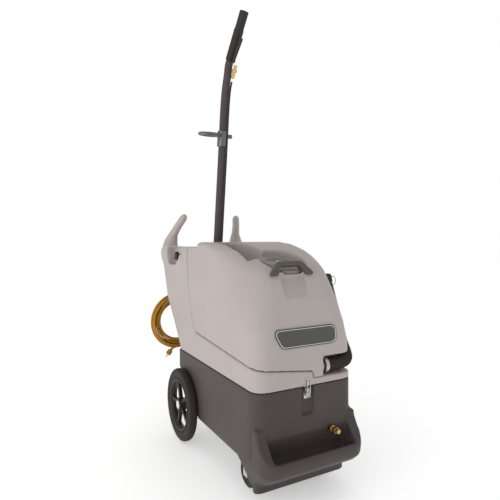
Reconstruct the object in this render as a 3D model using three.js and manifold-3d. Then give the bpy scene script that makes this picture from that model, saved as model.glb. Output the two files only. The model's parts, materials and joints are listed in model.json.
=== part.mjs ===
// Commercial carpet and spot extractor with its wand, in millimetres, +Z up, the front towards -Y.
// The machine is drawn about its rear axle and then moved so that the middle of its footprint is the origin.
import * as THREE from 'three';
import { mergeVertices } from 'three/addons/utils/BufferGeometryUtils.js';
import Module from 'manifold-3d';

const wasm = await Module();
wasm.setup();

// Driving dimensions
const AXLE_TO_MIDDLE = 175.5;
const WHEEL_RADIUS = 152.5;
const TYRE_INNER = 111;
const TYRE_WIDTH = 36;
const WHEEL_X = 225.5;
const AXLE_RADIUS = 9.5;
const HALF_WIDTH = 206;
const FRONT_Y = -622;
const REAR_Y = 100;
const TANK_TOP = 375;
const TANK_BOTTOM = 130;
const LIP_Y = -690;
const SKIRT_Z = 34;
const GAP = 0.4;
const SEAM_GAP = 1.4;
const SEAM_SLOPE_X = -0.125;
const HOUSING_TOP = 840;
const VALLEY_HALF = 165;
const VALLEY_Y = 70;
const HINGE = { y: 113, z: 388 };
const CASTER_X = 145;
const CASTER_Y = -472;
const CASTER_SWIVEL_Y = -450;
const CASTER_RADIUS = 51;
const LID = { x: -8, y: -462, z: 788, tilt: THREE.MathUtils.degToRad(18), radius: 84 };
const HOSE_RADIUS = 24;
const WAND_RADIUS = 18;
const CORD_RADIUS = 4.75;
const COIL = { x: -132, y: 302, z: 462, radius: 114 };

// Materials' colours
const DARK = 0x4a4744;
const GREY = 0xb9b4af;
const BLACK = 0x242322;
const STEEL = 0xc9c9c6;
const BRASS = 0xb98d4a;
const YELLOW = 0xe0a83a;

// Geometry helpers
const vec = (x, y, z) => new THREE.Vector3(x, y, z);
const Y_UP = new THREE.Matrix4().makeBasis(vec(0, 1, 0), vec(0, 0, 1), vec(1, 0, 0));
const X_SIDE = new THREE.Matrix4().makeBasis(vec(1, 0, 0), vec(0, 0, 1), vec(0, -1, 0));

function toSolid(geometry) {
  if (geometry.userData.solid) return geometry.userData.solid;
  const bare = geometry.clone();
  bare.deleteAttribute('normal');
  bare.deleteAttribute('uv');
  const merged = mergeVertices(bare, 1e-3);
  const index = merged.index.array;
  const kept = [];
  for (let i = 0; i < index.length; i += 3) {
    const [a, b, c] = [index[i], index[i + 1], index[i + 2]];
    if (a !== b && b !== c && c !== a) kept.push(a, b, c);
  }
  const vertProperties = Float32Array.from(merged.attributes.position.array);
  return new wasm.Manifold(new wasm.Mesh({ numProp: 3, vertProperties, triVerts: Uint32Array.from(kept) }));
}

function toGeometry(solid) {
  const mesh = solid.getMesh();
  const geometry = new THREE.BufferGeometry();
  geometry.setAttribute('position', new THREE.BufferAttribute(Float32Array.from(mesh.vertProperties), 3));
  geometry.setIndex([...mesh.triVerts]);
  geometry.userData.solid = solid;
  return geometry;
}

const join = (first, ...others) => toGeometry(others.reduce((a, b) => a.add(toSolid(b)), toSolid(first)));
const cut = (first, ...tools) => toGeometry(tools.reduce((a, b) => a.subtract(toSolid(b)), toSolid(first)));
const common = (first, other) => toGeometry(toSolid(first).intersect(toSolid(other)));

function extrude(points, depth, matrix) {
  const shape = new THREE.Shape(points.map(([u, v]) => new THREE.Vector2(u, v)));
  const geometry = new THREE.ExtrudeGeometry(shape, { depth, bevelEnabled: false, curveSegments: 6 });
  return matrix ? geometry.applyMatrix4(matrix) : geometry;
}

const extrudeX = (yz, x0, x1) => extrude(yz, x1 - x0, Y_UP).translate(x0, 0, 0);
const extrudeY = (xz, y0, y1) => extrude(xz, y1 - y0, X_SIDE).translate(0, y1, 0);
const extrudeZ = (xy, z0, z1) => extrude(xy, z1 - z0).translate(0, 0, z0);

function box(x0, x1, y0, y1, z0, z1) {
  const size = new THREE.BoxGeometry(x1 - x0, y1 - y0, z1 - z0);
  return size.translate((x0 + x1) / 2, (y0 + y1) / 2, (z0 + z1) / 2);
}

// A round bar from one point to another.
function rod(from, to, radius, sides = 16, endRadius = radius) {
  const along = to.clone().sub(from);
  const bar = new THREE.CylinderGeometry(endRadius, radius, along.length(), sides);
  const turn = new THREE.Quaternion().setFromUnitVectors(vec(0, 1, 0), along.clone().normalize());
  return bar.applyQuaternion(turn).translate(...from.clone().add(to).multiplyScalar(0.5).toArray());
}

// A solid of revolution about Z: profile points are [radius, height], anticlockwise in that plane.
function lathe(profile, sides = 24) {
  const points = profile.map(([r, h]) => new THREE.Vector2(r, h));
  return new THREE.LatheGeometry(points, sides).rotateX(Math.PI / 2);
}

const ring = (inner, outer, z0, z1, sides) =>
  lathe([[inner, z0], [outer, z0], [outer, z1], [inner, z1], [inner, z0]], sides);

// Joins rings of the same number of points into a closed solid, lowest ring first.
function loft(rings) {
  const count = rings[0].length;
  const positions = [];
  const index = [];
  rings.forEach((points) => points.forEach((p) => positions.push(...p.toArray())));
  for (let i = 0; i + 1 < rings.length; i += 1) {
    for (let j = 0; j < count; j += 1) {
      const a = i * count + j;
      const b = i * count + ((j + 1) % count);
      index.push(a, b, b + count, a, b + count, a + count);
    }
  }
  [[rings[0], 0, true], [rings[rings.length - 1], (rings.length - 1) * count, false]].forEach(([points, start, low]) => {
    const middle = points.reduce((sum, p) => sum.add(p), vec(0, 0, 0)).divideScalar(count);
    const centre = positions.length / 3;
    positions.push(...middle.toArray());
    for (let j = 0; j < count; j += 1) {
      const [a, b] = [start + j, start + ((j + 1) % count)];
      index.push(...(low ? [centre, b, a] : [centre, a, b]));
    }
  });
  const geometry = new THREE.BufferGeometry();
  geometry.setAttribute('position', new THREE.Float32BufferAttribute(positions, 3));
  geometry.setIndex(index);
  return geometry;
}

// A rounded rectangle seen from above, anticlockwise: elliptical front corners and round rear ones.
function outline({ front, rear, half, rx, ry = rx, back = 12, left = -half, steps = 7 }) {
  const points = [];
  const corner = (cx, cy, ax, ay, from, count) => {
    for (let i = 0; i <= count; i += 1) {
      const t = from + (Math.PI / 2) * (i / count);
      points.push([cx + ax * Math.cos(t), cy + ay * Math.sin(t)]);
    }
  };
  corner(half - back, rear - back, back, back, 0, 3);
  corner(left + back, rear - back, back, back, Math.PI / 2, 3);
  corner(left + rx, front + ry, rx, ry, Math.PI, steps);
  corner(half - rx, front + ry, rx, ry, 1.5 * Math.PI, steps);
  return points;
}

const levelRing = (z, shape) => outline(shape).map(([x, y]) => vec(x, y, z));

// A round tube whose radius changes along its points.
function taperedTube(points, radii, sides = 14) {
  const rings = points.map((p, i) => {
    const ahead = points[Math.min(i + 1, points.length - 1)].clone();
    const along = ahead.sub(points[Math.max(i - 1, 0)]).normalize();
    const side = vec(1, 0, 0).addScaledVector(along, -along.x).normalize();
    const other = along.clone().cross(side);
    return Array.from({ length: sides }, (_, j) => {
      const t = (2 * Math.PI * j) / sides;
      return p.clone().addScaledVector(side, radii[i] * Math.cos(t)).addScaledVector(other, radii[i] * Math.sin(t));
    });
  });
  return loft(rings);
}

// A tube of constant section along a smooth curve.
function sweep(points, radius, sides = 10, steps = 30) {
  const section = Array.from({ length: sides }, (_, j) => {
    const t = (2 * Math.PI * j) / sides;
    return new THREE.Vector2(radius * Math.cos(t), radius * Math.sin(t));
  });
  const path = new THREE.CatmullRomCurve3(points, false, 'centripetal');
  return new THREE.ExtrudeGeometry(new THREE.Shape(section), { steps, extrudePath: path, bevelEnabled: false });
}

const machine = new THREE.Group();
machine.position.y = AXLE_TO_MIDDLE;

function add(name, geometry, color, roughness = 0.5, metalness = 0) {
  const mesh = new THREE.Mesh(geometry, new THREE.MeshStandardMaterial({ color, roughness, metalness }));
  mesh.name = name;
  machine.add(mesh);
  return mesh;
}

const SIDES = [['left', -1], ['right', 1]];

// ---- Base: the solution tank with its front tray, skirt and axle legs ----
const body = { rear: REAR_Y, back: 24 };
const trayLevels = [
  [60, -592, 188, 42], [85, -632, 192, 45], [108, -668, 198, 50], [126, -686, 203, 52],
  [146, LIP_Y, 205, 54], [160, -688, 205, 54], [168, -682, 202, 52],
];
const trayShell = loft(trayLevels.map(([z, front, half, rx]) => levelRing(z, { front, half, rx, ...body })));
const tankSides = extrudeZ(outline({ front: FRONT_Y, half: HALF_WIDTH, rx: 50, ...body }), 150, TANK_TOP);
const cheekProfile = [
  [-600, 150], [-600, 262], [FRONT_Y, 258], [-626, 238], [-640, 212], [-660, 187], [-686, 164], [-680, 150],
];
const cheekOutline = extrudeZ(outline({ front: LIP_Y, half: HALF_WIDTH, rx: 54, ...body }), 100, 300);
const cheeks = SIDES.map(([, s]) => {
  const slab = s < 0 ? extrudeX(cheekProfile, -HALF_WIDTH, -166) : extrudeX(cheekProfile, 166, HALF_WIDTH);
  return common(slab, cheekOutline);
});
const underside = extrudeX([
  [-564, -10], [-564, 40], [-500, 118], [-490, TANK_BOTTOM], [-133, 132], [-30, 215], [35, 280], [110, 297],
  [160, 297], [160, -10],
], -260, 260);
const skirt = extrudeZ(outline({ front: -590, rear: -564, half: 187, rx: 24, ry: 18, back: 4 }), SKIRT_Z, 100);
const trayScoop = extrudeX([
  [-674, 175], [-669, 140], [-652, 120], [-628, 114], [-611, 124], [-604, 150], [-608, 182], [-622.5, 222],
  [-720, 222], [-700, 175],
], -164, 164);
const tankCavity = extrudeX([
  [-585, 400], [-585, 160], [-575, 150], [-140, 150], [-24, 240], [28, 294], [86, 312], [86, 400],
], -195, 195);
const latchRecess = box(-24, 24, -640, -609, 277, 400);
const axleLeg = [[-72, 186], [-24, 128], [24, 128], [66, 300], [30, 300], [-20, 230]];
const axleBore = rod(vec(-250, 0, WHEEL_RADIUS), vec(250, 0, WHEEL_RADIUS), AXLE_RADIUS + GAP, 20);
const outletBore = rod(vec(99, -640, 214), vec(99, -560, 214), 9.6, 16);
const solutionTank = cut(
  join(
    cut(join(trayShell, tankSides, ...cheeks), underside),
    skirt,
    extrudeX(axleLeg, -186, -158),
    extrudeX(axleLeg, 158, 186),
  ),
  trayScoop, tankCavity, latchRecess, axleBore, outletBore,
);
add('solution_tank', solutionTank, DARK, 0.55);

add('rear_axle', rod(vec(-236, 0, WHEEL_RADIUS), vec(236, 0, WHEEL_RADIUS), AXLE_RADIUS, 20), STEEL, 0.3, 1);

// ---- Rear wheels ----
function spokedRim() {
  const spokes = Array.from({ length: 5 }, (_, i) =>
    box(-7, 7, 20, TYRE_INNER - 12, -8, 8).rotateZ((2 * Math.PI * i) / 5));
  const hub = ring(AXLE_RADIUS + GAP, 26, -17, 17, 24);
  const band = lathe([
    [TYRE_INNER - 16, -4], [TYRE_INNER - 9, -16], [TYRE_INNER - 0.5, -16], [TYRE_INNER - 0.5, 16],
    [TYRE_INNER - 9, 16], [TYRE_INNER - 16, 4], [TYRE_INNER - 16, -4],
  ], 40);
  return join(band, hub, ...spokes);
}

const tyreProfile = [
  [TYRE_INNER, -14], [122, -TYRE_WIDTH / 2], [140, -TYRE_WIDTH / 2], [149, -12], [WHEEL_RADIUS, -5],
  [WHEEL_RADIUS, 5], [149, 12], [140, TYRE_WIDTH / 2], [122, TYRE_WIDTH / 2], [TYRE_INNER, 14], [TYRE_INNER, -14],
];

SIDES.forEach(([side, s]) => {
  const wheel = new THREE.Group();
  wheel.position.set(s * WHEEL_X, 0, WHEEL_RADIUS);
  wheel.rotation.y = (s * Math.PI) / 2;
  machine.add(wheel);
  wheel.add(add(`tyre_${side}`, lathe(tyreProfile, 40), BLACK, 0.85));
  wheel.add(add(`rim_${side}`, spokedRim(), BLACK, 0.6));
  const cap = lathe([[0, 17.4], [17.5, 17.4], [16, 18.2], [0, 18.2]], 24);
  wheel.add(add(`hub_cap_${side}`, cap, STEEL, 0.2, 1));
});

// ---- Front casters ----
const forkLeg = [[-14, -12], [14, -12], [14, 14], [28, 58], [-26, 58], [-14, 14]];
SIDES.forEach(([side, s]) => {
  const x = s * CASTER_X;
  const swivelY = CASTER_SWIVEL_Y;
  const plate = join(
    box(x - 30, x + 30, swivelY - 28, swivelY + 32, 125, TANK_BOTTOM - GAP),
    rod(vec(x, swivelY, 119), vec(x, swivelY, 127), 20, 20),
  );
  add(`caster_plate_${side}`, plate, STEEL, 0.4, 1);
  const legs = [[x - 19, x - 16], [x + 16, x + 19]].map(([x0, x1]) =>
    extrudeX(forkLeg, x0, x1).translate(0, CASTER_Y, CASTER_RADIUS));
  const crown = join(
    box(x - 19, x + 19, CASTER_Y - 24, swivelY + 8, 106, 111),
    rod(vec(x, swivelY, 106), vec(x, swivelY, 119 - GAP), 22, 20),
    ...legs,
  );
  add(`caster_fork_${side}`, crown, STEEL, 0.35, 1);
  const axle = join(
    rod(vec(x - 15.6, CASTER_Y, CASTER_RADIUS), vec(x + 15.6, CASTER_Y, CASTER_RADIUS), 4, 12),
    rod(vec(x - 15.6, CASTER_Y, CASTER_RADIUS), vec(x - 13.8, CASTER_Y, CASTER_RADIUS), 8, 12),
    rod(vec(x + 13.8, CASTER_Y, CASTER_RADIUS), vec(x + 15.6, CASTER_Y, CASTER_RADIUS), 8, 12),
  );
  add(`caster_axle_${side}`, axle, STEEL, 0.3, 1);
  const roller = lathe([
    [4.4, -13], [38, -13], [47, -12], [CASTER_RADIUS, -7], [CASTER_RADIUS, 7], [47, 12], [38, 13], [4.4, 13],
    [4.4, -13],
  ], 28);
  add(`caster_wheel_${side}`, roller.rotateY(Math.PI / 2).translate(x, CASTER_Y, CASTER_RADIUS), BLACK, 0.7);
});

// ---- Hinges at the tank's rear top edge ----
const leafX = { left: [-150, -126, -125, -100], right: [126, 150, 100, 125] };
SIDES.forEach(([side, s]) => {
  const [x0, x1, x2, x3] = leafX[side];
  const tankLeaf = join(
    box(x0, x1, REAR_Y + GAP, 104.5, 330, 384),
    box(x0, x1, REAR_Y + GAP, HINGE.y, 380, 388),
    rod(vec(x0, HINGE.y, HINGE.z), vec(x1, HINGE.y, HINGE.z), 8, 16),
    rod(vec(s * 100, HINGE.y, HINGE.z), vec(s * 140, HINGE.y, HINGE.z), 3.9, 16),
  );
  add(`hinge_leaf_${side}`, tankLeaf, STEEL, 0.4, 1);
  const housingLeaf = cut(
    join(
      box(x2, x3, VALLEY_Y + GAP, 75, 384, 430),
      box(x2, x3, 74, HINGE.y, 388, 396),
      rod(vec(x2, HINGE.y, HINGE.z), vec(x3, HINGE.y, HINGE.z), 8, 16),
    ),
    rod(vec(x2 - 1, HINGE.y, HINGE.z), vec(x3 + 1, HINGE.y, HINGE.z), 4.3, 16),
  );
  add(`hinge_strap_${side}`, housingLeaf, STEEL, 0.4, 1);
});

// ---- Draw latch: base and lever on the tank, keeper on the housing ----
const LATCH = { y: -618, z: 364 };
const latchBase = join(
  box(-11, 11, -611.5, -609 - GAP, 330, 372),
  box(-11, -9, -621, -611, 358, 370),
  box(9, 11, -621, -611, 358, 370),
  rod(vec(-10, LATCH.y, LATCH.z), vec(10, LATCH.y, LATCH.z), 2.2, 12),
);
add('latch_base', latchBase, STEEL, 0.25, 1);
const leverProfile = [
  [-622.5, 367], [-622.5, 346], [-626, 338], [-624, 337], [-620.5, 346], [-620.5, 360], [-614.5, 360], [-614.5, 367],
];
const latchLever = cut(
  extrudeX(leverProfile, -8, 8),
  rod(vec(-20, LATCH.y, LATCH.z), vec(20, LATCH.y, LATCH.z), 2.6, 12),
);
add('latch_lever', latchLever, STEEL, 0.2, 1);
const loopY = -625.8;
const latchLoop = join(
  rod(vec(-6, loopY, 352), vec(-6, loopY, 395), 1.5, 8),
  rod(vec(6, loopY, 352), vec(6, loopY, 395), 1.5, 8),
  rod(vec(-7, loopY, 395), vec(7, loopY, 395), 1.5, 8),
  rod(vec(-7, loopY, 352), vec(7, loopY, 352), 1.5, 8),
);
add('latch_loop', latchLoop, STEEL, 0.25, 1);
add('latch_keeper', box(-10, 10, FRONT_Y - 1.8, FRONT_Y - GAP, 379, 403), STEEL, 0.2, 1);

// ---- Solution outlet in the tank's front ----
const outletAt = (y) => vec(99, y, 214);
const outlet = join(
  rod(outletAt(-664), outletAt(-575), 6.5, 16),
  rod(outletAt(-664), outletAt(-654), 8.4, 16),
  rod(outletAt(-632), outletAt(FRONT_Y - GAP), 12, 6),
  rod(outletAt(-622), outletAt(-600), 9.2, 16),
);
add('solution_outlet', outlet, BRASS, 0.3, 1);
const sleeve = cut(
  rod(outletAt(-653), outletAt(-639), 10.5, 20),
  rod(outletAt(-670), outletAt(-620), 6.9, 16),
);
add('outlet_sleeve', sleeve, BRASS, 0.3, 1);
const strainer = lathe([[0, 151], [30, 151], [30, 158], [22, 162], [22, 205], [9, 210], [9, 222], [0, 222]], 20);
add('solution_filter', strainer.translate(60, -480, 0), 0x3d6fa5, 0.5);

// ---- The seam between the housing and the recovery tank ----
const seamProfile = [
  [-102, 487], [-760, 440.7], [-760, 1300], [-5, 1300], [-5, 807], [-26, 678], [-55, 572],
];
const slopeAcross = new THREE.Matrix4().set(1, 0, 0, 0, 0, 1, 0, 0, SEAM_SLOPE_X, 0, 1, SEAM_SLOPE_X * HALF_WIDTH, 0, 0, 0, 1);
const seamSolid = (dy, dz) => extrudeX(seamProfile, -300, 300).applyMatrix4(slopeAcross).translate(0, dy, dz);

// ---- Drain hose route along the front right corner ----
const hosePath = [
  vec(78, -598, 431), vec(110, -598, 431), vec(160, -601, 433), vec(190, -592, 440), vec(205, -572, 455),
  vec(211, -546, 486), vec(212, -518, 546), vec(212, -492, 610), vec(212, -470, 664), vec(212, -454, 704),
];
const hoseEnd = hosePath[hosePath.length - 1];
const hoseAim = hoseEnd.clone().sub(hosePath[hosePath.length - 2]).normalize();
const hoseChannel = (spare) => {
  const past = hoseEnd.clone().addScaledVector(hoseAim, 40);
  return sweep([vec(66, -598, 431), ...hosePath.slice(1), past], HOSE_RADIUS + spare, 12, 30);
};

// ---- Housing: a band under the recovery tank and a rear block with two wings and horn grips ----
const bandProfile = [
  [FRONT_Y, TANK_TOP + GAP], [62, TANK_TOP + GAP], [VALLEY_Y, 384], [VALLEY_Y, HOUSING_TOP], [-40, HOUSING_TOP],
  [-40, 700], [FRONT_Y, 500],
];
const housingPlan = extrudeZ(
  outline({ front: FRONT_Y, rear: 120, half: HALF_WIDTH, rx: 50, back: 10 }), 300, 1000);
const wingLevels = [
  [376, 62, 206, 40, 6], [400, 86, 206, 50, 10], [493, 169, 206, 50, 14], [595, 263, 206, 50, 16],
  [680, 298, 206, 50, 16], [739, 314, 208, 50, 16], [775, 326, 215, 50, 18], [800, 331, 220, 50, 20],
  [822, 327, 220, 50, 20], [HOUSING_TOP, 314, 214, 50, 20],
];
const wing = (s) => loft(wingLevels.map(([z, rear, outer, front, back]) => {
  const [left, half] = s < 0 ? [-outer, 2 - VALLEY_HALF] : [VALLEY_HALF - 2, outer];
  return levelRing(z, { front, rear, left, half, rx: 5, back });
}));
const wingHollow = (s) => loft([[400, 60], [493, 148], [595, 240], [690, 278], [738, 290]].map(([z, rear]) => {
  const [left, half] = s < 0 ? [-196, -VALLEY_HALF - 8] : [VALLEY_HALF + 8, 196];
  return levelRing(z, { front: 30, rear, left, half, rx: 4, back: 8 });
}));
const hornPoints = [
  vec(192, 262, 750), vec(188, 268, 808), vec(184, 273, 838), vec(179, 276, 862), vec(171, 260, 900),
  vec(158, 228, 940), vec(143, 200, 975), vec(138, 191, 986), vec(136, 187, 990),
];
const hornRadii = [26, 38, 38, 33, 21.5, 18.5, 18, 14, 6];
const hornSide = (s) => taperedTube(hornPoints.map((p) => vec(s * p.x, p.y, p.z)), hornRadii, 16);
const knobPocket = extrudeX([
  [226, 836], [226, 762], [204, 754], [132, 757], [74, 784], [52, 810], [60, 830], [88, 836],
], -240, -172);
const housingHollow = extrudeX([
  [-594, 300], [-594, 430], [-560, 436], [-112, 470], [-72, 560], [-46, 660], [-28, 790], [-25, 812],
  [56, 812], [56, 300],
], -192, 192).applyMatrix4(slopeAcross);
const hollowPlan = extrudeZ(outline({ front: -606, rear: 70, half: 192, rx: 44, back: 6 }), 200, 1000);
const clampSpace = rod(vec(66, -598, 431), vec(96, -598, 431), 29, 20);
const housing = cut(
  join(common(extrudeX(bandProfile, -HALF_WIDTH, HALF_WIDTH), housingPlan), wing(-1), wing(1), hornSide(-1), hornSide(1)),
  seamSolid(0.3, -SEAM_GAP),
  hoseChannel(2.2),
  clampSpace,
  box(22.6, 260, -680, -558.6, 398.6, 520),
  cut(common(housingHollow, hollowPlan), box(10, 260, -660, -545, 388, 520)),
  wingHollow(-1),
  wingHollow(1),
  knobPocket,
);
add('housing', housing, GREY, 0.5);

const knobAt = (x) => vec(x, 116, 795);
const knob = join(
  rod(knobAt(-200), knobAt(-172 - GAP), 11, 16),
  rod(knobAt(-212), knobAt(-198), 19, 18, 17),
  ...[0, 1, 2].map((i) => box(-214, -200, -4, 4, 0, 21).rotateX((2 * Math.PI * i) / 3).translate(0, 116, 795)),
);
add('side_knob', knob, BLACK, 0.5);

const panelHoles = [-28, 28].map((x) => box(x - 11.5, x + 11.5, 60, 90, 735, 769));
add('control_panel', cut(box(-64, 64, VALLEY_Y + GAP, 75, 705, 800), ...panelHoles), DARK, 0.6);
[['vacuum', -28], ['pump', 28]].forEach(([name, x]) => {
  const rocker = extrudeX([[73.4, 738], [73.4, 766], [81.5, 766], [79.5, 752], [81.5, 738]], x - 10, x + 10);
  add(`${name}_switch`, rocker, name === 'vacuum' ? 0x8a1f1c : BLACK, 0.35);
});

const motor = rod(vec(-62, -18, 390), vec(-62, -18, 500), 58, 28);
const motorHorn = rod(vec(-62, -18, 500), vec(-62, -18, 540), 22, 20);
add('vacuum_motor', join(motor, motorHorn), STEEL, 0.4, 1);
add('pump_motor', rod(vec(20, -10, 430), vec(100, -10, 430), 36, 24), BLACK, 0.5);
add('pump_head', join(box(100.5, 140, -40, 20, 400, 460), rod(vec(120, -10, 460), vec(120, -10, 476), 9, 12)), BRASS, 0.4, 1);

const hookArm = join(
  box(-VALLEY_HALF + 2.4, -157, 176, 206, 505, 560),
  box(-160, -146, 182, 200, 532, 546),
  rod(vec(-150, 186, 538), vec(-150, 336, 538), 8, 14),
  rod(vec(-150, 332, 534), vec(-150, 332, 584), 7, 14),
);
add('cord_hook', hookArm, BLACK, 0.6);

const clipY = 123.4;
const clip = cut(
  join(rod(vec(0, clipY, 802), vec(0, clipY, 822), 26, 24), box(-22, -8, VALLEY_Y + GAP, 110, 802, 822)),
  rod(vec(0, clipY, 792), vec(0, clipY, 832), 21.5, 24),
  box(3, 40, 90, 160, 792, 832),
);
add('wand_clip', clip, BLACK, 0.6);
const rest = join(
  box(-60, 60, VALLEY_Y + GAP, 75, 390, 445),
  box(-60, 60, VALLEY_Y + GAP, 212, 390, 395),
  box(-60, 60, 207, 212, 390, 412),
);
add('wand_rest', rest, STEEL, 0.4, 1);
add('strain_relief', rod(vec(-112, VALLEY_Y + GAP, 640), vec(-112, 112, 640), 10, 14, 6.6), BLACK, 0.6);

// ---- Power cord: a short lead to the coil on its hook, and the plug that hangs from it ----
const leadPath = [
  vec(-112, 112.5, 640), vec(-112, 140, 639), vec(-113, 170, 635), vec(-115, 200, 627), vec(-118, 228, 614),
  vec(-122, 252, 598), vec(-126, 270, 584), vec(-129, COIL.y - 23.6, 577.5),
];
add('power_cord', sweep(leadPath, CORD_RADIUS, 8, 24), YELLOW, 0.6);
const coil = ring(COIL.radius - 26, COIL.radius + 27, -20, 20, 30);
add('cord_coil', coil.rotateX(Math.PI / 2).translate(COIL.x, COIL.y, COIL.z), YELLOW, 0.6);
const plugAim = vec(-0.62, 0, -0.785).normalize();
const plugStart = vec(-166, COIL.y, 323).addScaledVector(plugAim, 0.6);
const plugAt = (d) => plugStart.clone().addScaledVector(plugAim, d);
add('plug', join(
  rod(plugAt(0), plugAt(12), 7, 14),
  rod(plugAt(10), plugAt(34), 13, 16),
  rod(plugAt(33), plugAt(50), 2.4, 8),
), YELLOW, 0.6);

// ---- Recovery tank ----
const recoveryLevels = [
  [380, FRONT_Y, 206, 50, 50], [510, -620, 206, 56, 62], [576, -613, 206, 75, 90], [620, -604, 206, 90, 115],
  [650, -597, 206, 98, 135], [700, -580, 205, 112, 165], [735, -562, 204, 116, 185], [760, -543, 203, 112, 192],
  [788, -500, 203, 106, 180], [812, -450, 202, 100, 165], [830, -400, 201, 95, 150], [840, -355, 200, 90, 135],
  [841.5, -348, 200, 88, 130], [853, -285, 197, 70, 100], [859, -215, 192, 60, 70], [862, -182, 178, 40, 32],
];
const rearOf = (z) => (z > 841 ? -100 : 60);
const recoveryOuter = loft(recoveryLevels.map(([z, front, half, rx, ry]) =>
  levelRing(z, { front, half, rx, ry, rear: rearOf(z) })));
const insideLevels = recoveryLevels.slice(1);
const recoveryInner = loft(insideLevels.map(([z, front, half, rx, ry], i) =>
  levelRing(i ? z - 14 : 420, {
    front: front + 13, half: half - 38, left: 12 - half, rx: rx - 10, ry: ry - 10, rear: rearOf(z) - 14,
  })));

const lidAxis = vec(0, -Math.sin(LID.tilt), Math.cos(LID.tilt));
const onLid = (h) => vec(LID.x, LID.y, LID.z).addScaledVector(lidAxis, h);
const lidCylinder = (radius, from, to, sides = 36) => rod(onLid(from), onLid(to), radius, sides);

// The channel for the vacuum elbow: its floor rises forward until it meets the sloping top.
const channel = extrudeY([[-146, 900], [-146, 800], [-128, 772], [-44, 772], [-30, 900]], -460, -112);
const channelSpare = extrudeY([[-160, 900], [-160, 790], [-134, 758], [-34, 758], [-16, 900]], -480, -98);
const handScoop = extrudeX([
  [-650, 676], [-584, 676], [-556, 712], [-536, 742], [-549, 757], [-650, 790],
], -68, 32);
const scoopSpare = extrudeX([[-650, 662], [-572, 662], [-524, 742], [-524, 800], [-650, 800]], -82, 46);
const notch = box(66, 260, -680, -566, 380, 466);
const tongue = box(24, 66, FRONT_Y, -560, 400, 470);
const recoveryHollow = cut(
  common(recoveryInner, seamSolid(-14, 15)),
  channelSpare, lidCylinder(104, -27, 90), scoopSpare, box(52, 270, -690, -540, 300, 480),
);
const recoveryTank = cut(
  join(common(recoveryOuter, seamSolid(0, 0)), common(tongue, housingPlan)),
  channel, lidCylinder(LID.radius + 11, -12.6, 90), lidCylinder(68, -60, 0), handScoop, notch, hoseChannel(2.2),
  clampSpace, recoveryHollow,
);
const capSpace = rod(hoseEnd, hoseEnd.clone().addScaledVector(hoseAim, 74), 28.5, 20);
const drainStub = rod(vec(58, -598, 431), vec(77.5, -598, 431), 20, 18);
add('recovery_tank', join(cut(recoveryTank, capSpace), drainStub), GREY, 0.5);

const handleArch = [
  [-88, 0], [-88, 8], [-50, 50], [50, 50], [88, 8], [88, 0], [60, 0], [56, 6], [38, 34], [-38, 34], [-56, 6],
  [-60, 0],
];
const handle = extrudeY(handleArch, -11, 11).rotateX(THREE.MathUtils.degToRad(-25)).translate(-20, -552, 748);
add('carry_handle', cut(handle, recoveryOuter.clone().translate(0, -0.5, 0.5)), BLACK, 0.5);

const badgeShape = [
  [-118, 33], [-126, 30], [-130, 22], [-129, 8], [-112, -22], [-104, -30], [-94, -33], [100, -33], [116, -28],
  [125, -14], [125, 14], [118, 27], [104, 33],
];
const badge = extrudeY(badgeShape, -3, 0).rotateX(-0.106).translate(0, -617, 543);
add('badge_plate', cut(badge, recoveryOuter.clone().translate(0, -GAP, 0)), 0x5f5f58, 0.4);

const elbow = cut(
  join(
    rod(vec(-63, -152, 815), vec(-63, -112.4, 815), 23, 20),
    rod(vec(-98, -130, 810), vec(-98, -112.4, 810), 25, 20),
  ),
  rod(vec(-63, -170, 815), vec(-63, -118, 815), 17, 18),
);
add('vacuum_elbow', elbow, BLACK, 0.6);

add('drain_hose', sweep(hosePath, HOSE_RADIUS, 12, 36), BLACK, 0.7);
const clampBand = ring(HOSE_RADIUS + 0.6, HOSE_RADIUS + 3.4, 78, 92, 24);
add('hose_clamp', clampBand.rotateY(Math.PI / 2).translate(0, -598, 431), STEEL, 0.25, 1);
const pastHose = (d) => hoseEnd.clone().addScaledVector(hoseAim, d);
add('drain_cap', rod(pastHose(0.5), pastHose(30), 26, 20), BLACK, 0.6);
const strapPath = [
  vec(240, -448, 722), vec(240, -458, 727), vec(240, -470, 723), vec(240, -476, 711), vec(240, -471, 699),
  vec(240, -460, 692),
];
add('cap_strap', sweep(strapPath, 1.3, 6, 18), BLACK, 0.6);

const FLOAT = { x: LID.x, y: -455 };
const cageBars = [0, 1, 2, 3].map((i) =>
  box(21, 25, -2, 2, 692, 748).rotateZ((Math.PI / 2) * i));
const cage = join(
  ring(20, 24, 462, 691, 20),
  ring(12, 26, 690, 694, 20),
  ring(10, 26, 746, 750, 20),
  ...cageBars,
);
add('float_cage', toGeometry(toSolid(cage).translate(FLOAT.x, FLOAT.y, 0)), DARK, 0.6);
const ball = new THREE.SphereGeometry(17, 16, 10).rotateX(Math.PI / 2);
add('float_ball', ball.translate(FLOAT.x, FLOAT.y, 712.5), 0xd8d6d0, 0.4);

const lid = lathe([
  [0, -9], [60, -9], [60, -28], [66.5, -28], [66.5, -12], [LID.radius, -12], [LID.radius, 0], [78, 2], [74, -4],
  [24, -4], [20, 4], [0, 4],
], 36);
add('clear_lid', lid.rotateX(LID.tilt).translate(LID.x, LID.y, LID.z), 0xb8b5b2, 0.15);

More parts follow.
